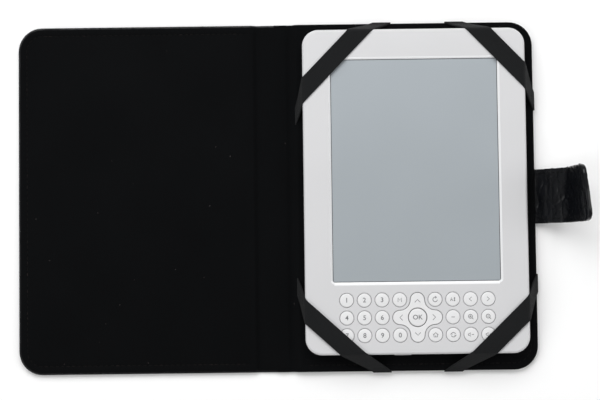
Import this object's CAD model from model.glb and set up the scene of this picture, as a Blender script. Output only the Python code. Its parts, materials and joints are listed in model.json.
import json
import random
from math import atan2, ceil, cos, exp, hypot, pi, radians, sin, tan

import bmesh
import bpy
from mathutils import Matrix, Vector, noise
from mathutils.bvhtree import BVHTree


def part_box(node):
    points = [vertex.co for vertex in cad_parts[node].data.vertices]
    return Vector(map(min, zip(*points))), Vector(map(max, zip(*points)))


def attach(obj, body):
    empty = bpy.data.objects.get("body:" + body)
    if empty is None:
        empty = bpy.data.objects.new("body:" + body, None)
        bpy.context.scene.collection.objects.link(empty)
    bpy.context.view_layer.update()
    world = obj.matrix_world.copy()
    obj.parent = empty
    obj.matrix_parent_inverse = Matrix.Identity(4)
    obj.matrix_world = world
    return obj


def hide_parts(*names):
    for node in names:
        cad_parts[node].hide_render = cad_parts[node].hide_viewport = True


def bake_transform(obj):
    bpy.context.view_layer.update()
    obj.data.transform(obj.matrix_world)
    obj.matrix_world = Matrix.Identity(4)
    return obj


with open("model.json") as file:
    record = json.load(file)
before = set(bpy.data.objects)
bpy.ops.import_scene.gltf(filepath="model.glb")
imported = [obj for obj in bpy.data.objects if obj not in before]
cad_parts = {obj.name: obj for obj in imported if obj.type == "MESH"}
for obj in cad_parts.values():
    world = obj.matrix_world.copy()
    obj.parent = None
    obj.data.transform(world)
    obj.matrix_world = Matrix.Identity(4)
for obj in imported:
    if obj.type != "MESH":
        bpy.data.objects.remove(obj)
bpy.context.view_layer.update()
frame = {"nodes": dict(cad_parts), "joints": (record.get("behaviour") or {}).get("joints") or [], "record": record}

scene = bpy.context.scene
mm = 0.001
random.seed(11)

# pieces are modelled in millimetres and made metres as they become objects


def jointAt(name):
    return next(Vector(j["pos_m"]) / mm for j in frame["joints"] if j["name"] == name)


def boxOf(node):
    low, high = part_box(node)
    return low / mm, high / mm


def smooth(t):
    t = min(1, max(0, t))
    return t * t * (3 - 2 * t)


def between(x, stops):
    # smooth steps through (place, value) pairs
    if x <= stops[0][0]:
        return stops[0][1]
    for (x0, y0), (x1, y1) in zip(stops, stops[1:]):
        if x <= x1:
            return y0 + (y1 - y0) * smooth((x - x0) / (x1 - x0))
    return stops[-1][1]


def block(low, high):
    bm = bmesh.new()
    bmesh.ops.create_cube(bm, size=1)
    bmesh.ops.scale(bm, vec=Vector(high) - Vector(low), verts=bm.verts)
    bmesh.ops.translate(bm, vec=(Vector(high) + Vector(low)) / 2, verts=bm.verts)
    return bm


def bevel(bm, edges, offset, segments, clamp=True):
    bmesh.ops.bevel(bm, geom=edges, offset=offset, segments=segments, profile=0.5,
                    affect="EDGES", offset_type="OFFSET", clamp_overlap=clamp, material=-1)


def everything(bm):
    return bm.verts[:] + bm.edges[:] + bm.faces[:]


def flatFace(bm, z):
    return max((f for f in bm.faces if abs(f.calc_center_median().z - z) < 0.01),
               key=lambda f: f.calc_area())


def cutAt(bm, places):
    for x in places:
        bmesh.ops.bisect_plane(bm, geom=everything(bm), plane_co=(x, 0, 0), plane_no=(1, 0, 0),
                               dist=0.001)


def cadCopy(node, angle=1.0):
    # a merged copy of a CAD node with its flat faces made whole
    bm = bmesh.new()
    bm.from_mesh(frame["nodes"][node].data)
    bmesh.ops.scale(bm, vec=Vector((1, 1, 1)) / mm, verts=bm.verts)
    bmesh.ops.remove_doubles(bm, verts=bm.verts, dist=0.002)
    bmesh.ops.dissolve_limit(bm, angle_limit=radians(angle), verts=bm.verts,
                             edges=bm.edges, use_dissolve_boundaries=False)
    return bm


def rimEdges(bm, z, keep=lambda place: True):
    # sharp edges that lie at a height
    return [e for e in bm.edges
            if all(abs(v.co.z - z) < 0.01 for v in e.verts) and len(e.link_faces) == 2
            and e.calc_face_angle(0) > 0.9 and keep((e.verts[0].co + e.verts[1].co) / 2)]


def addMesh(bm, mesh, matrix, slot=0):
    # joins a mesh to a bmesh under one material and gives back its new vertices
    verts, faces = set(bm.verts), set(bm.faces)
    part = mesh.copy()
    part.transform(matrix)
    bm.from_mesh(part)
    bpy.data.meshes.remove(part)
    for face in bm.faces:
        if face not in faces:
            face.material_index = slot
    return [v for v in bm.verts if v not in verts]


def piece(name, bm, materials, sharp=35, even=False, turn=True):
    if turn:
        bmesh.ops.remove_doubles(bm, verts=bm.verts, dist=0.0005)
        bmesh.ops.recalc_face_normals(bm, faces=bm.faces)
    bmesh.ops.scale(bm, vec=(mm, mm, mm), verts=bm.verts)
    mesh = bpy.data.meshes.new(name)
    bm.to_mesh(mesh)
    bm.free()
    for material in materials:
        mesh.materials.append(material)
    mesh.shade_smooth()
    mesh.set_sharp_from_angle(angle=radians(sharp))
    obj = bpy.data.objects.new(name, mesh)
    scene.collection.objects.link(obj)
    if even:
        weighted = obj.modifiers.new("even", "WEIGHTED_NORMAL")
        weighted.keep_sharp = True
        weighted.weight = 60
    return obj


class Wire:
    # a shader socket that takes part in sums
    def __init__(self, finish, socket):
        self.finish = finish
        self.socket = socket

    def math(self, operation, *others):
        values = {i: v for i, v in enumerate((self,) + others)}
        return self.finish.node("Math", {"operation": operation}, values)

    def other(self, name):
        # another output of the same node
        return Wire(self.finish, self.socket.node.outputs[name])

    def __add__(self, other):
        return self.math("ADD", other)

    def __mul__(self, other):
        return self.math("MULTIPLY", other)

    def __sub__(self, other):
        return self.math("SUBTRACT", other)

    def __rsub__(self, other):
        return self.finish.node("Math", {"operation": "SUBTRACT"}, {0: other, 1: self})

    def __pow__(self, other):
        return self.math("POWER", other)

    def __gt__(self, other):
        return self.math("GREATER_THAN", other)

    def __lt__(self, other):
        return self.math("LESS_THAN", other)

    __radd__ = __add__
    __rmul__ = __mul__


class Finish:
    # a material under construction
    def __init__(self, name, **sockets):
        self.material = bpy.data.materials.new(name)
        self.material.use_nodes = True
        self.tree = self.material.node_tree
        self.shader = self.tree.nodes["Principled BSDF"]
        self.set(**sockets)

    def node(self, kind, settings=None, values=None, output=0):
        made = self.tree.nodes.new("ShaderNode" + kind)
        for key, value in (settings or {}).items():
            setattr(made, key, value)
        for key, value in (values or {}).items():
            self.feed(made.inputs[key], value)
        return Wire(self, made.outputs[output])

    def feed(self, socket, value):
        if isinstance(value, Wire):
            self.tree.links.new(value.socket, socket)
        else:
            socket.default_value = value

    def set(self, **sockets):
        for key, value in sockets.items():
            self.feed(self.shader.inputs[key.replace("_", " ")], value)

    def place(self, scale=(1, 1, 1), turn=(0, 0, 0)):
        at = self.node("TexCoord", output="Object")
        if scale == (1, 1, 1) and turn == (0, 0, 0):
            return at
        return self.node("Mapping", {}, {"Vector": at, "Scale": scale, "Rotation": turn})

    def noise(self, at, scale, detail=3.0, rough=0.5):
        return self.node("TexNoise", {}, {"Vector": at, "Scale": scale, "Detail": detail,
                                          "Roughness": rough})

    def cells(self, at, scale, feature="F1", output="Distance", jitter=1.0):
        return self.node("TexVoronoi", {"feature": feature},
                         {"Vector": at, "Scale": scale, "Randomness": jitter}, output)

    def mix(self, factor, a, b):
        return self.node("Mix", {"data_type": "RGBA"}, {0: factor, 6: a, 7: b}, 2)

    def bump(self, height, distance, strength=1.0):
        return self.node("Bump", {}, {"Height": height, "Distance": distance,
                                      "Strength": strength})


def grey(level, warm=0.0):
    return (level * (1 + warm), level, level * (1 - warm), 1)


# ---- finishes

suede = {"pile": (0.0022, 0.0024, 0.0027, 1), "worn": (0.0042, 0.0045, 0.005, 1),
         "lint": (0.1, 0.085, 0.085, 1), "lintEvery": 260}


def makeSuede():
    f = Finish("suedeLining", Roughness=0.93, Sheen_Weight=0.01, Sheen_Roughness=0.5,
               Specular_IOR_Level=0.04)
    at = f.place()
    cloudy = f.noise(at, 24, 4)
    nap = f.noise(at, 1900, 3, 0.7)
    base = f.mix(cloudy * 0.7 + nap * 0.5 - 0.15, suede["pile"], suede["worn"])
    warped = f.node("VectorMath", {"operation": "ADD"},
                    {0: at, 1: f.node("VectorMath", {"operation": "SCALE"},
                                      {0: f.noise(at, 900, 2).other("Color"),
                                       "Scale": 0.0012})})
    spots = f.cells(warped, suede["lintEvery"])
    chance = f.cells(warped, suede["lintEvery"], output="Color")
    rare = f.node("SeparateColor", {}, {0: chance}) > 0.9
    mask = (spots < 0.055) * rare
    f.set(Base_Color=f.mix(mask * 0.75, base, suede["lint"]),
          Normal=f.bump(nap + cloudy * 0.6, 0.00018, 0.55))
    return f.material


croc = {"dark": (0.0022, 0.0025, 0.0032, 1), "light": (0.0052, 0.0057, 0.0072, 1)}


def makeCroc(name, scale, depth, rough, coat):
    # glossy embossed leather: wide scales, creases between them and fine pores
    f = Finish(name, Specular_IOR_Level=0.16, Coat_Roughness=0.13)
    at = f.place((1, 0.62, 1))
    gap = f.cells(at, scale, "DISTANCE_TO_EDGE", jitter=0.85)
    scaleTop = (gap * 5.2).math("MINIMUM", 1.0) ** 0.6
    fine = f.noise(f.place(), 1500, 4, 0.6)
    folds = f.noise(f.place((1, 0.35, 1)), 260, 3)
    f.set(Base_Color=f.mix(scaleTop * 0.6 + fine * 0.4, croc["dark"], croc["light"]),
          Roughness=rough + fine * 0.2 - scaleTop * 0.1,
          Coat_Weight=scaleTop * coat,
          Normal=f.bump(scaleTop + folds * 0.5 + fine * 0.12, depth, 0.9))
    return f.material


weave = {"weft": 0.00062, "warp": 0.00088, "selvedge": 0.0043,
         "dark": (0.005, 0.0053, 0.0058, 1), "light": (0.0165, 0.0175, 0.0187, 1)}


def makeWebbing():
    # the U of the bands' map runs along them and V across, both in metres
    f = Finish("wovenElastic", Roughness=0.82, Sheen_Weight=0.04, Specular_IOR_Level=0.12)
    along = f.node("SeparateXYZ", {}, {0: f.node("UVMap", {"uv_map": "weave"})})
    across = along.other("Y")
    wefts = (along * (2 * pi / weave["weft"])).math("SINE")
    warps = (across * (2 * pi / weave["warp"])).math("SINE")
    plait = wefts * warps
    outer = (across.math("ABSOLUTE") - weave["selvedge"]).math("MAXIMUM", 0.0)
    edge = (outer * 1500).math("MINIMUM", 1.0)
    fuzz = f.noise(f.place(), 2600, 3, 0.7)
    height = plait * 0.5 + warps * 0.3 + edge * 0.5 + fuzz * 0.3
    f.set(Base_Color=f.mix(plait * 0.3 + fuzz * 0.5 + 0.1, weave["dark"], weave["light"]),
          Normal=f.bump(height, 0.00016, 0.9))
    return f.material


def makePlastic(name, low, high, rough, grain=0.00002, coat=0.0):
    # moulded plastic with a fine spark-eroded grain and slight clouding
    f = Finish(name, Coat_Weight=coat, Coat_Roughness=0.2, Specular_IOR_Level=0.42)
    at = f.place()
    fine = f.noise(at, 3800, 2, 0.6)
    cloud = f.noise(at, 32, 3)
    f.set(Base_Color=f.mix(cloud * 0.75 + fine * 0.25, low, high),
          Roughness=rough + (fine - 0.5) * 0.12 + (cloud - 0.5) * 0.08,
          Normal=f.bump(fine, grain, 0.5))
    return f.material


def makePaper():
    # the display behind its matt front: fine capsules and a soft fall of tone
    f = Finish("ePaper", Roughness=0.55, Specular_IOR_Level=0.4)
    at = f.place()
    fine = f.noise(at, 5200, 2, 0.8)
    cloud = f.noise(at, 14, 2)
    along = f.node("SeparateXYZ", {}, {0: at}).other("Y")
    fall = (along + 0.06) * 3.2 + fine * 0.35 + (cloud - 0.5) * 0.4
    f.set(Base_Color=f.mix(fall, (0.29, 0.32, 0.34, 1), (0.375, 0.41, 0.44, 1)),
          Roughness=0.5 + fine * 0.12, Normal=f.bump(fine, 0.00001, 0.35))
    return f.material


def makeMetal(name, low, high, rough, stretch=(1, 1, 1)):
    f = Finish(name, Metallic=1.0)
    fine = f.noise(f.place(stretch), 700, 4, 0.6)
    f.set(Base_Color=f.mix(fine, low, high), Roughness=rough + fine * 0.18,
          Normal=f.bump(fine, 0.00002, 0.5))
    return f.material


def makeBoard(name, low, high, scale, rough, stretch=(1, 1, 1), depth=0.00004):
    # fibres, foils and laminates inside
    f = Finish(name, Specular_IOR_Level=0.35)
    at = f.place(stretch)
    fibre = f.noise(at, scale, 5, 0.65)
    specks = f.cells(at, scale * 2)
    f.set(Base_Color=f.mix(fibre * 0.8 + specks * 0.3, low, high),
          Roughness=rough + fibre * 0.15, Normal=f.bump(fibre + specks * 0.4, depth, 0.6))
    return f.material


def makeThread():
    f = Finish("stitchThread", Roughness=0.8, Sheen_Weight=0.02, Specular_IOR_Level=0.1)
    at = f.place()
    twist = f.node("TexWave", {"wave_type": "BANDS", "bands_direction": "DIAGONAL"},
                   {"Vector": at, "Scale": 900, "Distortion": 2.0})
    tone = f.noise(at, 230, 2)
    f.set(Base_Color=f.mix(tone * 3.2 - 1.75, (0.003, 0.0028, 0.0028, 1), (0.032, 0.023, 0.023, 1)),
          Normal=f.bump(twist, 0.00005, 0.6))
    return f.material


liningSuede = makeSuede()
caseLeather = makeCroc("crocLeather", 150, 0.0003, 0.36, 0.1)
strapLeather = makeCroc("crocStrap", 135, 0.0001, 0.22, 0.14)
webbing = makeWebbing()
thread = makeThread()
shellWhite = makePlastic("shellWhite", (0.585, 0.585, 0.595, 1), (0.62, 0.62, 0.63, 1), 0.42)
keyWhite = makePlastic("keyWhite", (0.7, 0.7, 0.705, 1), (0.75, 0.75, 0.755, 1), 0.36,
                       coat=0.1)
rimWhite = makePlastic("windowRim", (0.8, 0.805, 0.815, 1), (0.84, 0.845, 0.855, 1), 0.3)
ink = makePlastic("legendInk", (0.1, 0.103, 0.108, 1), (0.14, 0.144, 0.15, 1), 0.55)
ePaper = makePaper()
gasketBlack = makePlastic("gasketBlack", (0.02, 0.022, 0.025, 1), (0.035, 0.038, 0.042, 1), 0.6)
cadFinishes = {
    "card_board": makeBoard("greyBoard", (0.17, 0.14, 0.105, 1), (0.3, 0.26, 0.2, 1), 900, 0.8),
    "magnet_metal": makeMetal("platedMagnet", grey(0.42), grey(0.6), 0.22),
    "frame_metal": makeMetal("rolledSheet", grey(0.3, 0.02), grey(0.48, 0.02), 0.3, (1, 14, 1)),
    "socket_metal": makeMetal("stampedSteel", grey(0.5), grey(0.66), 0.24, (6, 1, 1)),
    "screw_steel": makeMetal("screwSteel", grey(0.3), grey(0.5), 0.3),
    "flex_cable": makeBoard("amberFilm", (0.32, 0.13, 0.02, 1), (0.5, 0.24, 0.05, 1), 500, 0.3,
                            (12, 1, 1)),
    "circuit_board": makeBoard("greenLaminate", (0.008, 0.06, 0.03, 1), (0.02, 0.12, 0.06, 1),
                               700, 0.4),
    "battery_foil": makeBoard("pouchFoil", grey(0.4), grey(0.58), 160, 0.3),
    "jack_plastic": makePlastic("jackPlastic", grey(0.012), grey(0.026), 0.4),
    "key_rubber": makePlastic("keyRubber", (0.5, 0.49, 0.46, 1), (0.6, 0.59, 0.55, 1), 0.6),
    "e_paper": ePaper, "white_plastic": shellWhite, "key_plastic": keyWhite,
    "case_leather": caseLeather, "strap_lining": strapLeather, "suede_lining": liningSuede,
    "elastic": webbing}
for part in frame["record"]["subparts"]:
    slotName = part.get("material_slot") or part.get("material")
    node = frame["nodes"].get(part.get("node") or part.get("name"))
    if node and slotName in cadFinishes:
        for materialSlot in node.material_slots:
            materialSlot.material = cadFinishes[slotName]
print("finishes made")

# ---- folio case

creaseBack = jointAt("spine_fold").x
creaseFront = jointAt("cover_fold").x
spineMiddle = (creaseBack + creaseFront) / 2
frontLow, frontHigh = boxOf("front_cover_leather")
backLow, backHigh = boxOf("back_cover_leather")
liningLow, liningHigh = boxOf("front_lining")
backTop = boxOf("back_lining")[1].z
frontTop = liningHigh.z
hingeBack = boxOf("back_lining")[0].x
leatherT = backHigh.z

folio = {"cornerRadius": 13, "cornerSegments": 10, "valley": 1.45, "spineTop": 2.1,
         "spineLeather": 1.3, "undercut": 0.18, "liningUnder": 0.9, "panelReach": 2.6,
         "spineReach": 1.2, "stitchInset": 3.7, "grooveDepth": 0.32, "grooveWidth": 0.3,
         "grooveStep": 0.25, "padding": 0.12, "boardGap": 2, "rimRamp": 1.2, "nearCut": 3,
         "farCut": 8, "pitch": 3.0, "stitchHalf": (1.15, 0.27, 0.2), "seamGap": 5,
         "stitchSink": 0.2, "stitchRaise": 0.08}
hingeFront = boxOf("front_board")[1].x + folio["boardGap"]
# where the sheets are cut across beside a crease, closest together at the bend
creaseSteps = [-4.6, -3.8, -3.2, -2.6, -2.1, -1.6, -1.1, -0.6, -0.1, 0.4, 0.8, 1.2, 1.8, 2.6, 3.4]


def coverSlab(x0, x1, y, z0, z1, radius, top, bottom, groove=0):
    # a plate with round corners at x1 and a straight end at x0, which may be left of x1
    side = 1 if x1 > x0 else -1
    tail = x0 - side * 40
    bm = block((min(tail, x1), -y, z0), (max(tail, x1), y, z1))
    corners = [e for e in bm.edges if all(abs(v.co.x - x1) < 0.01 for v in e.verts)
               and abs(e.verts[0].co.y - e.verts[1].co.y) < 0.01]
    bevel(bm, corners, radius, folio["cornerSegments"])
    if groove:
        # rings of narrow faces beside the seam take the groove that is pressed in later
        step = folio["grooveStep"]
        for width in [groove - 2 * step] + [step] * 4:
            bmesh.ops.inset_region(bm, faces=[flatFace(bm, z1)], thickness=width,
                                   use_even_offset=True)
    outline = [e for e in bm.edges if e.calc_face_angle(0) > 1.2]
    upper = [e for e in outline if all(v.co.z > z1 - 0.01 for v in e.verts)]
    lower = [e for e in outline if all(v.co.z < z0 + 0.01 for v in e.verts)]
    bevel(bm, upper, top, 4)
    bevel(bm, [e for e in lower if e.is_valid], bottom, 3)
    bmesh.ops.bisect_plane(bm, geom=everything(bm), plane_co=(x0, 0, 0), plane_no=(side, 0, 0),
                           clear_inner=True, dist=0.001)
    return bm


def outlineDistance(x, y, x1, half, radius):
    # how far inside a cover's edge a point is, ignoring the hinge side
    dx = abs(x1 - x)
    dy = half - abs(y)
    if dx < radius and dy < radius:
        return radius - hypot(radius - dx, radius - dy)
    return min(dx, dy)


def shapeSlab(bm, z0, z1, topAt, bottomAt):
    for v in bm.verts:
        t = (v.co.z - z0) / (z1 - z0)
        v.co.z = bottomAt(v.co.x) + t * (topAt(v.co.x) - bottomAt(v.co.x))


def stitches(name, side, x0, x1, y, radius, z):
    # a row that goes round a cover's three free edges, from hinge to hinge
    half = folio["stitchHalf"]
    straight = abs(x1 - x0) - radius
    arc = radius * pi / 2
    rise = 2 * (y - radius)
    length = 2 * straight + 2 * arc + rise
    count = int(length / folio["pitch"])
    bm = bmesh.new()
    for i in range(count):
        s = (i + 0.5) * length / count
        if s < straight:
            place = Vector((x0 + side * s, -y))
            heading = 0
        elif s < straight + arc:
            heading = (s - straight) / radius
            place = Vector((x1 - side * (radius - radius * sin(heading)),
                            -y + radius - radius * cos(heading)))
        elif s < straight + arc + rise:
            place = Vector((x1, -y + radius + s - straight - arc))
            heading = pi / 2
        elif s < straight + 2 * arc + rise:
            heading = pi / 2 + (s - straight - arc - rise) / radius
            place = Vector((x1 - side * (radius - radius * sin(heading)),
                            y - radius - radius * cos(heading)))
        else:
            place = Vector((x1 - side * (radius + s - straight - 2 * arc - rise), y))
            heading = pi
        lean = heading * side + random.uniform(-0.05, 0.05)
        size = Matrix.Diagonal((half[0] * random.uniform(0.9, 1.05), half[1], half[2], 1))
        bmesh.ops.create_uvsphere(
            bm, u_segments=8, v_segments=4, radius=1,
            matrix=Matrix.Translation((place.x, place.y, z)) @ Matrix.Rotation(lean, 4, "Z")
            @ size)
    made = piece(name, bm, [thread], sharp=80)
    return made


def creasePlaces(crease, side):
    # cuts across a crease; side is +1 where the panel lies to its left
    return [crease + side * step for step in creaseSteps]


def bendAt(obj):
    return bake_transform(obj)


halfH = backHigh.y
radius = folio["cornerRadius"]

# outer leather, front half: the rim is turned up round the board
leather = coverSlab(spineMiddle, frontLow.x, halfH, 0, frontHigh.z, radius, 0.45, 0.6)
cutAt(leather, creasePlaces(creaseFront, 1) + [hingeFront - folio["farCut"]])
shapeSlab(leather, 0, frontHigh.z,
          lambda x: between(x, [(hingeFront - folio["rimRamp"], frontHigh.z),
                                (creaseFront - 0.6, leatherT), (creaseFront + 0.6, leatherT),
                                (creaseFront + 2.6, folio["spineLeather"])]),
          lambda x: between(x, [(creaseFront - 2.4, 0), (creaseFront, folio["undercut"]),
                                (creaseFront + 2.2, 0)]))
outerFront = piece("outer_leather_front", leather, [caseLeather])
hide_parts("front_cover_leather", "spine_leather")
bendAt(outerFront)

leather = coverSlab(spineMiddle, backHigh.x, halfH, 0, leatherT, radius, 0.2, 0.5)
cutAt(leather, creasePlaces(creaseBack, -1) + [hingeBack + folio["farCut"]])
shapeSlab(leather, 0, leatherT,
          lambda x: between(x, [(creaseBack - 2.6, folio["spineLeather"]),
                                (creaseBack - 0.6, leatherT)]),
          lambda x: between(x, [(creaseBack - 2.2, 0), (creaseBack, folio["undercut"]),
                                (creaseBack + 2.4, 0)]))
outerBack = piece("outer_leather_back", leather, [caseLeather])
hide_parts("back_cover_leather")
bendAt(outerBack)


def liningHalf(name, side, x1, half, z0, z1, hinge, crease, corner, nodes):
    lining = coverSlab(spineMiddle, x1, half, z0, z1, corner, 0.45, 0.15,
                       folio["stitchInset"])
    cutAt(lining, creasePlaces(crease, -side)
          + [hinge + side * folio["farCut"], hinge + side * folio["nearCut"]])
    valley, under, ramp = folio["valley"], folio["liningUnder"], 3.4
    top = [(-ramp, folio["spineTop"]), (-0.5, valley), (0.3, valley), (ramp, z1)]
    low = [(-3.0, under), (1.5, under), (ramp, z0)]
    shapeSlab(lining, z0, z1, lambda x: between((x - crease) * side, top),
              lambda x: between((x - crease) * side, low))
    for v in lining.verts:
        d = outlineDistance(v.co.x, v.co.y, x1, half, corner)
        fade = smooth(((v.co.x - crease) * side - ramp) / 5)
        if v.co.z > z1 - 0.5 and fade:
            across = (d - folio["stitchInset"]) / folio["grooveWidth"]
            v.co.z -= folio["grooveDepth"] * fade * exp(-across ** 2)
            # the padding under the suede is a little uneven
            inside = smooth((d - 5) / 10)
            v.co.z += folio["padding"] * inside * noise.noise(v.co * 0.03)
    made = piece(name, lining, [liningSuede])
    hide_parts(*nodes)
    return bendAt(made)


liningHalf("lining_front", -1, liningLow.x, liningHigh.y, 2.2, frontTop, hingeFront, creaseFront,
           radius - 1, ["front_lining", "spine_lining"])
liningHalf("lining_back", 1, backHigh.x, halfH, 1.0, backTop, hingeBack, creaseBack,
           radius, ["back_lining"])

inset = folio["stitchInset"]
seamFront, seamBack = hingeFront - folio["seamGap"], hingeBack + folio["seamGap"]
seams = [
    ("stitches_front_inside", -1, seamFront, liningLow.x + inset, liningHigh.y - inset,
     radius - 1 - inset, frontTop - folio["stitchSink"], "front_cover"),
    ("stitches_back_inside", 1, seamBack, backHigh.x - inset, halfH - inset,
     radius - inset, backTop - folio["stitchSink"], "back_cover"),
    ("stitches_front_outside", -1, seamFront, frontLow.x + inset, halfH - inset,
     radius - inset, folio["stitchRaise"], "front_cover"),
    ("stitches_back_outside", 1, seamBack, backHigh.x - inset, halfH - inset,
     radius - inset, folio["stitchRaise"], "back_cover")]
for name, side, x0, x1, y, corner, z, body in seams:
    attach(stitches(name, side, x0, x1, y, corner, z), body)
print("folio case made")

# ---- closure strap

strapRoot = jointAt("strap_lift")
strapFold = jointAt("strap_fold")
riserL = (strapFold - strapRoot).length
riserAngle = atan2(strapFold.z - strapRoot.z, strapFold.x - strapRoot.x)
strapLow, strapHigh = boxOf("strap_riser_leather")
strapHalf = (strapHigh.y - strapLow.y) / 2
strapMiddle = (strapHigh.y + strapLow.y) / 2
strap = {"flapLength": 31, "flapAngle": radians(85), "twist": radians(3.5), "thick": 1.9,
         "rootBend": 3.4, "foldBend": 4.5, "endRadius": 6, "across": 36, "step": 0.7,
         "tab": 12, "seam": 0.84, "pitch": 2.6, "stitchHalf": (0.95, 0.24, 0.2),
         "rim": 0.42, "rootReach": (2.4, 2.8), "foldReach": 3.4}


def strapHeading(s, w):
    # slope of the strap a distance along it, w from -1 to 1 across
    rise = riserAngle * smooth((s + strap["rootBend"]) / (2 * strap["rootBend"]))
    turn = strap["flapAngle"] + strap["twist"] * (w - 1) - riserAngle
    fold = smooth((s - riserL + strap["foldBend"]) / (2 * strap["foldBend"]))
    return rise + turn * fold


def strapPlace(s, w):
    # walks along the strap's middle from its tab to a distance s past the root
    steps = max(1, ceil((s + strap["tab"]) / 0.5))
    ds = (s + strap["tab"]) / steps
    x = strapRoot.x - strap["tab"]
    z = strapRoot.z
    for i in range(steps):
        heading = strapHeading((i + 0.5) * ds - strap["tab"], w)
        x += ds * cos(heading)
        z += ds * sin(heading)
    return x, z, strapHeading(s, w)


def strapWrinkle(s, y):
    # soft swells, with sharp creases near the fold and the root
    nearFold = exp(-((s - riserL + 1) / 6) ** 2)
    nearRoot = exp(-((s - 2) / 4) ** 2)
    swell = noise.noise(Vector((s * 0.16, y * 0.1, 3.1))) * 0.45
    ripple = noise.noise(Vector((s * 0.5, y * 0.2, 7.7))) * 0.14
    crease = max(0, 1 - 7 * abs(noise.noise(Vector((s * 0.21, y * 0.1, 1.3)))))
    fine = max(0, 1 - 6 * abs(noise.noise(Vector((s * 0.4, y * 0.24, 5.9)))))
    lift = swell + ripple - crease * (0.1 + 0.5 * nearFold + 0.25 * nearRoot) - fine * 0.09
    return lift * (1 - 0.5 * (y / strapHalf) ** 4)


def strapPoint(s, w):
    # a point on the strap's middle layer and its slope there
    x, z, heading = strapPlace(s, w)
    lift = strapWrinkle(s, w * strapHalf)
    point = Vector((x - lift * sin(heading), strapMiddle + w * strapHalf,
                    z + lift * cos(heading)))
    return point, heading


def isEnd(v, s):
    # the ends that are hidden or meet the next stretch stay square
    x, z, heading = strapPlace(s, 0)
    return abs((v.co.x - x) * cos(heading) + (v.co.z - z) * sin(heading)) < 0.8


def strapPiece(name, s0, s1, start, end, nodes):
    bm = bmesh.new()
    along = ceil((s1 - s0) / strap["step"])
    bmesh.ops.create_grid(bm, x_segments=along, y_segments=strap["across"], size=1)
    tip = strap["flapLength"] + riserL
    for v in bm.verts:
        s = s0 + (v.co.x + 1) / 2 * (s1 - s0)
        w = v.co.y
        # the tip's corners are round: the grid's rows draw in towards it
        short = max(0, abs(w) * strapHalf - (strapHalf - strap["endRadius"]))
        reach = tip - strap["endRadius"] + (strap["endRadius"] ** 2 - short ** 2) ** 0.5
        if s1 > tip - 0.1:
            s = min(s, s0 + (s - s0) * (reach - s0) / (s1 - s0))
        point, heading = strapPoint(s, w)
        v.co = point - Vector((-sin(heading), 0, cos(heading))) * strap["thick"] / 2
    bmesh.ops.recalc_face_normals(bm, faces=bm.faces)
    bmesh.ops.solidify(bm, geom=bm.faces, thickness=strap["thick"])
    edges = [e for e in bm.edges if e.calc_face_angle(0) > 1.2]
    bevel(bm, [e for e in edges if not all(isEnd(v, s0) for v in e.verts)], strap["rim"], 3)
    bmesh.ops.recalc_face_normals(bm, faces=bm.faces)
    # a seam runs along both edges, on both faces
    tree = BVHTree.FromBMesh(bm)
    half = strap["stitchHalf"]
    pitch = strap["pitch"]
    for i in range(int((min(s1, tip - 5) - max(s0, 1)) / pitch)):
        s = max(s0, 1) + (i + 0.5) * pitch
        for w in (-strap["seam"], strap["seam"]):
            middle, heading = strapPoint(s, w)
            up = Vector((-sin(heading), 0, cos(heading)))
            for way in (up, -up):
                hit = tree.ray_cast(middle + way * 6, -way)[0]
                if hit is None:
                    continue
                size = Matrix.Diagonal((half[0], half[1], half[2], 1))
                made = bmesh.ops.create_uvsphere(
                    bm, u_segments=8, v_segments=4, radius=1,
                    matrix=Matrix.Translation(hit) @ Matrix.Rotation(-heading, 4, "Y") @ size)
                for v in made["verts"]:
                    for face in v.link_faces:
                        face.material_index = 1
    made = piece(name, bm, [strapLeather, thread], sharp=50, turn=False)
    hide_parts(*nodes)
    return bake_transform(made)


# the two skins meet halfway up the riser
halfway = riserL / 2
rootDir = Vector((cos(riserAngle / 2), 0, sin(riserAngle / 2)))
foldDir = Vector((cos((riserAngle + strap["flapAngle"]) / 2), 0,
                  sin((riserAngle + strap["flapAngle"]) / 2)))
strapPiece("strap_riser_skin", -strap["tab"], halfway,
                        strapRoot - rootDir * strap["rootReach"][0],
                        strapRoot + rootDir * strap["rootReach"][1],
                        ["strap_riser_leather", "strap_riser_lining"])
strapPiece("strap_flap_skin", halfway, riserL + strap["flapLength"],
                       strapFold - foldDir * strap["foldReach"],
                       strapFold + foldDir * strap["foldReach"],
                       ["strap_flap_leather", "strap_flap_lining", "strap_magnet"])
print("strap made")

# ---- elastic bands

readerLow, readerTop = boxOf("rear_shell")[0], boxOf("front_bezel")[1]
readerMiddle = (readerLow + readerTop) / 2
band = {"width": 10.0, "thick": 0.8, "faceRadius": 1.9, "rimRadius": 0.85, "across": 10,
        "driftTop": 12, "driftBottom": 15.5, "driftSide": 13, "underZ": 1.45, "cup": 0.1,
        "rim": 0.22, "step": 1.6}
# sides in X and Y, where the middle line crosses the reader's edges, and lift over the keys
bands = {"elastic_top_left": (-1, 1, 32.3, 33.4, 0.0),
         "elastic_top_right": (1, 1, 25.7, 26.8, 0.0),
         "elastic_bottom_left": (-1, -1, 26.5, 24.0, 0.45),
         "elastic_bottom_right": (1, -1, 25.5, 24.8, 0.45)}


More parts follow.
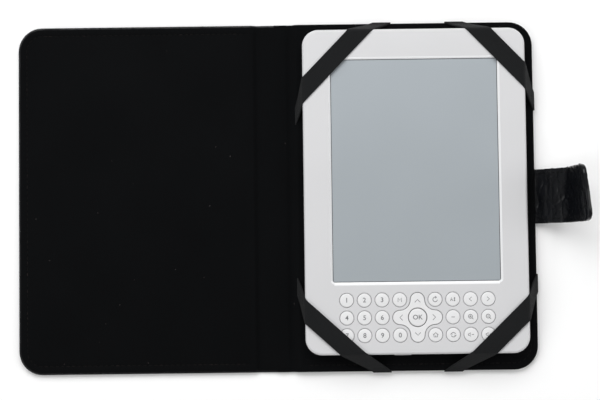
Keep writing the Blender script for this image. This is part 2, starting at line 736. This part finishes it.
def overEdge(gap, faceZ, rimZ, underZ):
    # (outward, up) points from the reader's face over its edge, down to the cover's edge
    # and round it
    r = band["faceRadius"]
    q = band["rimRadius"]
    drop = faceZ - r
    # the ramp is the straight line that leaves the face's arc and meets the rim's arc
    rampX = gap - q + 0.15
    slope = atan2(drop - rimZ, rampX + r * 0.5)
    points = [(-4.2, faceZ), (-3.0, faceZ), (-r + 0.25, faceZ)]
    for i in range(1, 6):
        a = slope * i / 5
        points.append((-r + 0.25 + r * sin(a), faceZ - r + r * cos(a)))
    startX, startZ = points[-1]
    for i in range(1, 7):
        t = i / 7
        points.append((startX + (rampX - startX) * t, startZ + (rimZ + q * 0.5 - startZ) * t))
    for i in range(1, 6):
        a = slope + (pi / 2 - slope) * i / 5
        points.append((gap - q + 0.45 + q * sin(a) * 0.9, rimZ - q * 0.6 + q * cos(a) + 0.1))
    points += [(gap + 0.3, (rimZ + underZ) / 2), (gap + 0.3, underZ + 0.7),
               (gap - 0.2, underZ + 0.1), (gap - 1.4, underZ), (gap - 8, underZ)]
    return points


def makeBand(name, b):
    bx, by, alongX, alongY, lift = b
    faceZ = readerTop.z + lift + band["thick"] / 2 + 0.05
    crossX = readerMiddle.x + bx * (readerTop.x - readerMiddle.x - alongX)
    crossY = readerMiddle.y + by * (readerTop.y - readerMiddle.y - alongY)
    edgeX = readerMiddle.x + bx * (readerTop.x - readerMiddle.x)
    edgeY = readerMiddle.y + by * (readerTop.y - readerMiddle.y)
    slope = atan2(alongY, alongX)
    gapY = abs(by * halfH - edgeY)
    gapX = abs((backHigh.x if bx > 0 else hingeBack) - edgeX)
    driftY = band["driftTop"] if by > 0 else band["driftBottom"]
    half = band["width"] / 2
    rows = []
    for out, z in reversed(overEdge(gapY, faceZ, backTop, band["underZ"])):
        t = min(1, max(0, out / gapY))
        wide = half * (1 + (1 / sin(slope) - 1) * (1 - t))
        centre = crossX - bx * driftY * t - bx * min(0, out) / tan(slope)
        y = edgeY + by * out
        rows.append((Vector((centre + bx * wide, y, z)), Vector((centre - bx * wide, y, z))))
    for out, z in overEdge(gapX, faceZ, backTop, band["underZ"]):
        t = min(1, max(0, out / gapX))
        wide = half * (1 + (1 / cos(slope) - 1) * (1 - t))
        centre = crossY - by * band["driftSide"] * t - by * min(0, out) * tan(slope)
        x = edgeX + bx * out
        rows.append((Vector((x, centre + by * wide, z)), Vector((x, centre - by * wide, z))))
    # long stretches get more rows
    full = [rows[0]]
    for a, c in zip(rows, rows[1:]):
        parts = max(1, round(((a[0] + a[1]) / 2 - (c[0] + c[1]) / 2).length / band["step"]))
        full += [(a[0].lerp(c[0], i / parts), a[1].lerp(c[1], i / parts))
                 for i in range(1, parts + 1)]
    travelled = [0.0]
    for a, c in zip(full, full[1:]):
        travelled.append(travelled[-1] + ((a[0] + a[1]) / 2 - (c[0] + c[1]) / 2).length)
    bm = bmesh.new()
    count = len(full) - 1
    bmesh.ops.create_grid(bm, x_segments=count, y_segments=band["across"], size=1)
    uv = bm.loops.layers.uv.new("weave")
    for face in bm.faces:
        for loop in face.loops:
            row = round((loop.vert.co.x + 1) / 2 * count)
            loop[uv].uv = (travelled[row] * mm, loop.vert.co.y * half * mm)
    for v in bm.verts:
        row = round((v.co.x + 1) / 2 * count)
        w = (v.co.y + 1) / 2
        place = full[row][1].lerp(full[row][0], w)
        # it cups a little where it is pulled over the edges
        place.z -= band["cup"] * (2 * w - 1) ** 4
        v.co = place
    area = sum(f.calc_area() for f in bm.faces)
    made = piece(name + "_webbing", bm, [webbing], sharp=60)
    wall = made.modifiers.new("thickness", "SOLIDIFY")
    wall.thickness = band["thick"] * mm
    wall.offset = 0
    rim = made.modifiers.new("rim", "BEVEL")
    rim.width = band["rim"] * mm
    rim.segments = 2
    rim.limit_method = "ANGLE"
    rim.angle_limit = radians(60)
    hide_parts(name)
    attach(made, "back_cover")
    area / band["width"] * mm
    print(name, "is", round(area / band["width"], 1), "mm long")


for name, b in bands.items():
    makeBand(name, b)
print("bands made")

# ---- reader

reader = {"windowFlare": 1.1, "sillExtra": 0.6, "keyRim": 0.26, "parting": 0.22, "gasket": 0.45,
          "gasketGap": 0.02, "windowReach": 47, "slopeReach": 3, "corner": 9, "postReach": 8.9}
keysTop = boxOf("key_1")[1].y + 1


def inWindow(place):
    return place.y > keysTop and abs(place.x - readerMiddle.x) < reader["windowReach"]


def clearOfPosts(place):
    # not by a screw post inside one of the reader's round corners
    size = readerTop - readerMiddle
    dx = abs(place.x - readerMiddle.x) - size.x + reader["corner"]
    dy = abs(place.y - readerMiddle.y) - size.y + reader["corner"]
    return hypot(dx, dy) > reader["postReach"]


bezel = cadCopy("front_bezel")
window = [v.co for e in rimEdges(bezel, readerTop.z, inWindow) for v in e.verts]
windowLow = Vector((min(p.x for p in window), min(p.y for p in window)))
windowHigh = Vector((max(p.x for p in window), max(p.y for p in window)))
bevel(bezel, rimEdges(bezel, readerTop.z, inWindow), reader["windowFlare"], 1, clamp=False)
for v in bezel.verts:
    # the sill below the window is wider
    if v.co.z > readerTop.z - 0.01 and abs(v.co.y - windowLow.y + reader["windowFlare"]) < 0.05:
        v.co.y -= reader["sillExtra"]
bevel(bezel, rimEdges(bezel, readerTop.z, lambda place: place.y < keysTop), reader["keyRim"], 3,
      clamp=False)
slopeFoot = readerTop.z - reader["windowFlare"] - 0.1
for face in bezel.faces:
    # the slope round the window is smoother and catches the light
    place = face.calc_center_median()
    if (inWindow(place) and place.y < windowHigh.y + reader["slopeReach"]
            and place.z > slopeFoot and 0.2 < face.normal.z < 0.95):
        face.material_index = 1
splitZ = boxOf("front_bezel")[0].z
bevel(bezel, rimEdges(bezel, splitZ, clearOfPosts), reader["parting"], 2)
bezelPiece = piece("reader_bezel", bezel, [shellWhite, rimWhite], sharp=40, even=True, turn=False)
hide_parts("front_bezel")
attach(bezelPiece, "back_cover")

rear = cadCopy("rear_shell")
bevel(rear, rimEdges(rear, boxOf("rear_shell")[1].z, clearOfPosts), reader["parting"], 2)
rearPiece = piece("reader_back", rear, [shellWhite], sharp=40, even=True, turn=False)
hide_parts("rear_shell")
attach(rearPiece, "back_cover")

# a thin ring lies on the display along the window's foot
gasket = bmesh.new()
size = windowHigh - windowLow
gap = reader["gasketGap"]
centre = (windowLow + windowHigh) / 2
bmesh.ops.create_grid(gasket, x_segments=1, y_segments=1, size=0.5)
bmesh.ops.scale(gasket, vec=(size.x - 2 * gap, size.y - 2 * gap, 1), verts=gasket.verts)
bmesh.ops.translate(gasket, vec=(centre.x, centre.y, boxOf("display_panel")[1].z + 0.01),
                    verts=gasket.verts)
inside = gasket.faces[:]
bmesh.ops.inset_region(gasket, faces=inside, thickness=reader["gasket"], use_boundary=True)
bmesh.ops.delete(gasket, geom=inside, context="FACES")
bmesh.ops.solidify(gasket, geom=gasket.faces, thickness=-0.05)
gasketPiece = piece("window_gasket", gasket, [gasketBlack])
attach(gasketPiece, "back_cover")
print("reader shell made")


# ---- keys

keyStyle = {"rim": 0.55, "rimSegments": 4, "dome": 28, "okDome": 44, "flange": 0.6,
            "flangeT": 0.55, "inkLift": 0.014, "line": 0.34, "digit": 3.6, "bold": 0.04,
            "taper": 0.14, "signFlat": 0.12, "legendCut": 0.6, "padRim": 0.35}


def arcPoints(cx, cy, r, a0, a1, steps=14):
    return [(cx + r * cos(radians(a0 + (a1 - a0) * i / steps)),
             cy + r * sin(radians(a0 + (a1 - a0) * i / steps))) for i in range(steps + 1)]


def digit(text, size):
    curve = bpy.data.curves.new("glyph", "FONT")
    curve.body = text
    curve.size = size
    curve.align_x = "CENTER"
    curve.align_y = "CENTER"
    curve.resolution_u = 4
    curve.offset = keyStyle["bold"]
    return curve


def strokes(lines, weight):
    curve = bpy.data.curves.new("glyph", "CURVE")
    curve.dimensions = "3D"
    curve.bevel_depth = weight
    curve.bevel_resolution = 1
    curve.use_fill_caps = True
    for line in lines:
        spline = curve.splines.new("POLY")
        spline.points.add(len(line) - 1)
        for point, (x, y) in zip(spline.points, line):
            point.co = (x, y, 0, 1)
    return curve


signs = {
    "key_menu": [[(-0.95, -1.1), (-0.95, 1.1), (0, -0.3), (0.95, 1.1), (0.95, -1.1)]],
    "key_refresh": [arcPoints(0, 0, 1.25, 60, 350), [(0.1, 1.75), (0.75, 1.1), (0.0, 0.65)]],
    "key_font": [[(-1.3, -0.9), (-0.7, 0.9), (-0.1, -0.9)], [(-1.1, -0.3), (-0.3, -0.3)],
                 [(0.9, -0.9), (0.9, 0.9)], [(0.5, 0.45), (0.9, 0.95), (1.3, 0.45)],
                 [(0.5, -0.45), (0.9, -0.95), (1.3, -0.45)]],
    "key_previous": [[(0.6, 1.1), (-0.7, 0), (0.6, -1.1)]],
    "key_next": [[(-0.6, 1.1), (0.7, 0), (-0.6, -1.1)]],
    "key_dash": [[(-0.9, 0), (0.9, 0)]],
    "key_zoom_in": [arcPoints(-0.2, 0.25, 1.05, 0, 360, 20), [(0.55, -0.5), (1.35, -1.3)],
                    [(-0.75, 0.25), (0.35, 0.25)], [(-0.2, -0.3), (-0.2, 0.8)]],
    "key_zoom_out": [arcPoints(-0.2, 0.25, 1.05, 0, 360, 20), [(0.55, -0.5), (1.35, -1.3)],
                     [(-0.75, 0.25), (0.35, 0.25)]],
    "key_home": [[(-1.4, 0.0), (0, 1.25), (1.4, 0.0)], [(-0.95, 0.2), (-0.95, -1.1), (0.95, -1.1),
                                                        (0.95, 0.2)], [(0, -1.1), (0, -0.3)]],
    "key_rotate": [arcPoints(0, 0, 1.2, 200, 340), arcPoints(0, 0, 1.2, 20, 160),
                   [(1.55, -0.15), (1.15, -0.6), (0.6, -0.2)],
                   [(-1.55, 0.15), (-1.15, 0.6), (-0.6, 0.2)]],
    "key_volume_down": [[(-1.5, -0.4), (-1.5, 0.4), (-1.0, 0.4), (-0.3, 1.0), (-0.3, -1.0),
                         (-1.0, -0.4), (-1.5, -0.4)], [(0.4, 0), (1.5, 0)]],
    "key_volume_up": [[(-1.5, -0.4), (-1.5, 0.4), (-1.0, 0.4), (-0.3, 1.0), (-0.3, -1.0),
                       (-1.0, -0.4), (-1.5, -0.4)], [(0.4, 0), (1.5, 0)],
                      [(0.95, -0.55), (0.95, 0.55)]]}


def legendMesh(curve, flat):
    # a curve or text made a mesh, in millimetres
    holder = bpy.data.objects.new("glyph", curve)
    scene.collection.objects.link(holder)
    bpy.context.view_layer.update()
    mesh = bpy.data.meshes.new_from_object(holder.evaluated_get(
        bpy.context.evaluated_depsgraph_get()))
    bpy.data.objects.remove(holder)
    bpy.data.curves.remove(curve)
    mesh.transform(Matrix.Diagonal((1, 1, flat, 1)))
    # crossed by cuts, so that it can follow a domed top
    bm = bmesh.new()
    bm.from_mesh(mesh)
    for across in (Vector((1, 0, 0)), Vector((0, 1, 0))):
        for i in range(-4, 5):
            place = across * i * keyStyle["legendCut"]
            bmesh.ops.bisect_plane(bm, geom=everything(bm), plane_co=place, plane_no=across,
                                   dist=0.0005)
    bm.to_mesh(mesh)
    bm.free()
    return mesh


def printOn(bm, mesh, centre, topAt):
    # lays a legend on a key's top, following its dome
    for v in addMesh(bm, mesh, Matrix.Translation((centre.x, centre.y, 0)), 1):
        v.co.z += topAt(hypot(v.co.x - centre.x, v.co.y - centre.y)) + keyStyle["inkLift"]
    bpy.data.meshes.remove(mesh)


def roundKey(name):
    low, high = boxOf(name)
    centre = (low + high) / 2
    isOk = name == "ok_key"
    r = (high.x - low.x) / 2 - (0 if isOk else keyStyle["flange"])
    sphere = keyStyle["okDome"] if isOk else keyStyle["dome"]
    topAt = lambda d: high.z - sphere + (sphere ** 2 - d ** 2) ** 0.5
    rim = keyStyle["rim"]
    profile = [(r * 0.999 * i / 6 * (1 - rim / r), 0) for i in range(7)]
    profile = [(d, topAt(d)) for d, z in profile]
    for i in range(1, keyStyle["rimSegments"] + 1):
        a = pi / 2 * i / keyStyle["rimSegments"]
        profile.append((r - rim + rim * sin(a), topAt(r - rim) - rim + rim * cos(a)))
    if isOk:
        profile += [(r, low.z), (0, low.z)]
    else:
        shelf = low.z + keyStyle["flangeT"]
        wide = high.x - centre.x
        profile += [(r + keyStyle["taper"], shelf), (wide, shelf), (wide, low.z), (0, low.z)]
    bm = bmesh.new()
    line = [bm.verts.new((centre.x + d, centre.y, z)) for d, z in profile]
    edges = [bm.edges.new(pair) for pair in zip(line, line[1:])]
    bmesh.ops.spin(bm, geom=line + edges, cent=centre, axis=(0, 0, 1), dvec=(0, 0, 0),
                   angle=2 * pi, steps=40, use_merge=True)
    bmesh.ops.remove_doubles(bm, verts=bm.verts, dist=0.001)
    bmesh.ops.recalc_face_normals(bm, faces=bm.faces)
    if name in signs:
        glyph = legendMesh(strokes(signs[name], keyStyle["line"] / 2), keyStyle["signFlat"])
    else:
        text = "OK" if isOk else name[-1]
        glyph = legendMesh(digit(text, keyStyle["digit"]), 1)
    printOn(bm, glyph, centre, topAt)
    made = piece(name + "_cap", bm, [keyWhite, ink], sharp=40, turn=False)
    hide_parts(name)
    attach(made, name)


notKeys = ("key_board", "key_membrane")
keyNames = [n for n in frame["nodes"] if n.startswith("key_") and n not in notKeys]
for name in keyNames + ["ok_key"]:
    roundKey(name)

padLow, padHigh = boxOf("nav_pad")
padCentre = (padLow + padHigh) / 2
reach = boxOf("key_2")[0].x - boxOf("key_1")[0].x
lobe = (padHigh.x - padLow.x) / 2 - reach
okHole = (boxOf("ok_key")[1].x - boxOf("ok_key")[0].x) / 2 + 0.35
outline = []
for quarter in range(4):
    round1 = arcPoints(reach, 0, lobe, -90, 90, 12)[:-1]
    hollow = arcPoints(reach, reach, reach - lobe, 270, 180, 12)[:-1]
    outline += [Matrix.Rotation(quarter * pi / 2, 2) @ Vector(p) for p in round1 + hollow]
pad = bmesh.new()
outer = [pad.verts.new((padCentre.x + p.x, padCentre.y + p.y, padHigh.z)) for p in outline]
inner = [pad.verts.new((padCentre.x + okHole * cos(a), padCentre.y + okHole * sin(a), padHigh.z))
         for a in (atan2(p.y, p.x) for p in outline)]
loops = [pad.edges.new((ring[i - 1], ring[i])) for ring in (outer, inner) for i in range(len(ring))]
bmesh.ops.bridge_loops(pad, edges=loops)
bmesh.ops.inset_region(pad, faces=pad.faces[:], thickness=0.5, use_even_offset=True)
wall = bmesh.ops.extrude_face_region(pad, geom=pad.faces[:])
bmesh.ops.translate(pad, vec=(0, 0, padLow.z - padHigh.z),
                    verts=[v for v in wall["geom"] if isinstance(v, bmesh.types.BMVert)])
bmesh.ops.recalc_face_normals(pad, faces=pad.faces)
bevel(pad, rimEdges(pad, padHigh.z), keyStyle["padRim"], 4)
arrow = [[(-0.75, 1.5), (0.75, 0), (-0.75, -1.5)]]
for quarter in range(4):
    chevron = legendMesh(strokes(arrow, keyStyle["line"] / 2), keyStyle["signFlat"])
    chevron.transform(Matrix.Translation((reach * 0.93, 0, 0)))
    chevron.transform(Matrix.Rotation(quarter * pi / 2, 4, "Z"))
    printOn(pad, chevron, padCentre, lambda r: padHigh.z)
padPiece = piece("nav_pad_cap", pad, [keyWhite, ink], sharp=40, even=True, turn=False)
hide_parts("nav_pad")
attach(padPiece, "nav_pad")
print("keys made")

# ---- floor, lights and camera

# the target is measured from below the reader's middle, and the floor clears the outer seams
studio = {"floor": 8.0, "floorZ": -0.14, "distance": 800, "target": (-63.115, -1.24, 0),
          "turn": (2.95, 0.16, -0.72), "lens": 86.6, "worldLight": 0.36}
floorMesh = bmesh.new()
bmesh.ops.create_grid(floorMesh, x_segments=1, y_segments=1, size=studio["floor"] / mm / 2)
bmesh.ops.translate(floorMesh, vec=(0, 0, studio["floorZ"]), verts=floorMesh.verts)
f = Finish("paleFloor", Roughness=0.9, Specular_IOR_Level=0.1)
f.set(Base_Color=f.mix(f.noise(f.place(), 9, 2), grey(0.93), grey(0.95)))
floor = piece("floor", floorMesh, [f.material], turn=False)


def areaLight(name, place, aim, size, power):
    data = bpy.data.lights.new(name, "AREA")
    data.shape = "RECTANGLE"
    data.size, data.size_y = size
    data.energy = power
    lamp = bpy.data.objects.new(name, data)
    scene.collection.objects.link(lamp)
    lamp.location = place
    lamp.rotation_euler = (Vector(aim) - Vector(place)).to_track_quat("-Z", "Y").to_euler()


areaLight("keyLight", (-0.15, 0.75, 0.95), (0, 0, 0), (1.3, 0.9), 13.0)
areaLight("fillLight", (-0.9, -0.5, 0.9), (0, 0, 0), (0.9, 0.9), 4.6)
areaLight("rimLight", (0.9, 0.05, 0.55), (0.1, 0, 0), (0.4, 0.7), 2.2)
world = bpy.data.worlds.new("studioAir")
world.use_nodes = True
air = world.node_tree.nodes["Background"]
air.inputs["Color"].default_value = (1, 1, 1, 1)
air.inputs["Strength"].default_value = studio["worldLight"]
scene.world = world
scene.view_settings.view_transform = "Standard"

aim = (Vector((readerMiddle.x, 0, 0)) + Vector(studio["target"])) * mm
tilt, roll, spin = (radians(angle) for angle in studio["turn"])
turn = Matrix.Rotation(tilt, 3, "X") @ Matrix.Rotation(roll, 3, "Y") @ Matrix.Rotation(spin, 3, "Z")
cameraData = bpy.data.cameras.new("camera")
cameraData.lens = studio["lens"]
cameraData.sensor_width = 36
cameraData.clip_end = 20
camera = bpy.data.objects.new("camera", cameraData)
scene.collection.objects.link(camera)
back = turn @ Vector((0, 0, studio["distance"] * mm))
camera.matrix_world = Matrix.Translation(aim + back) @ turn.to_4x4()
scene.camera = camera
print("studio made")
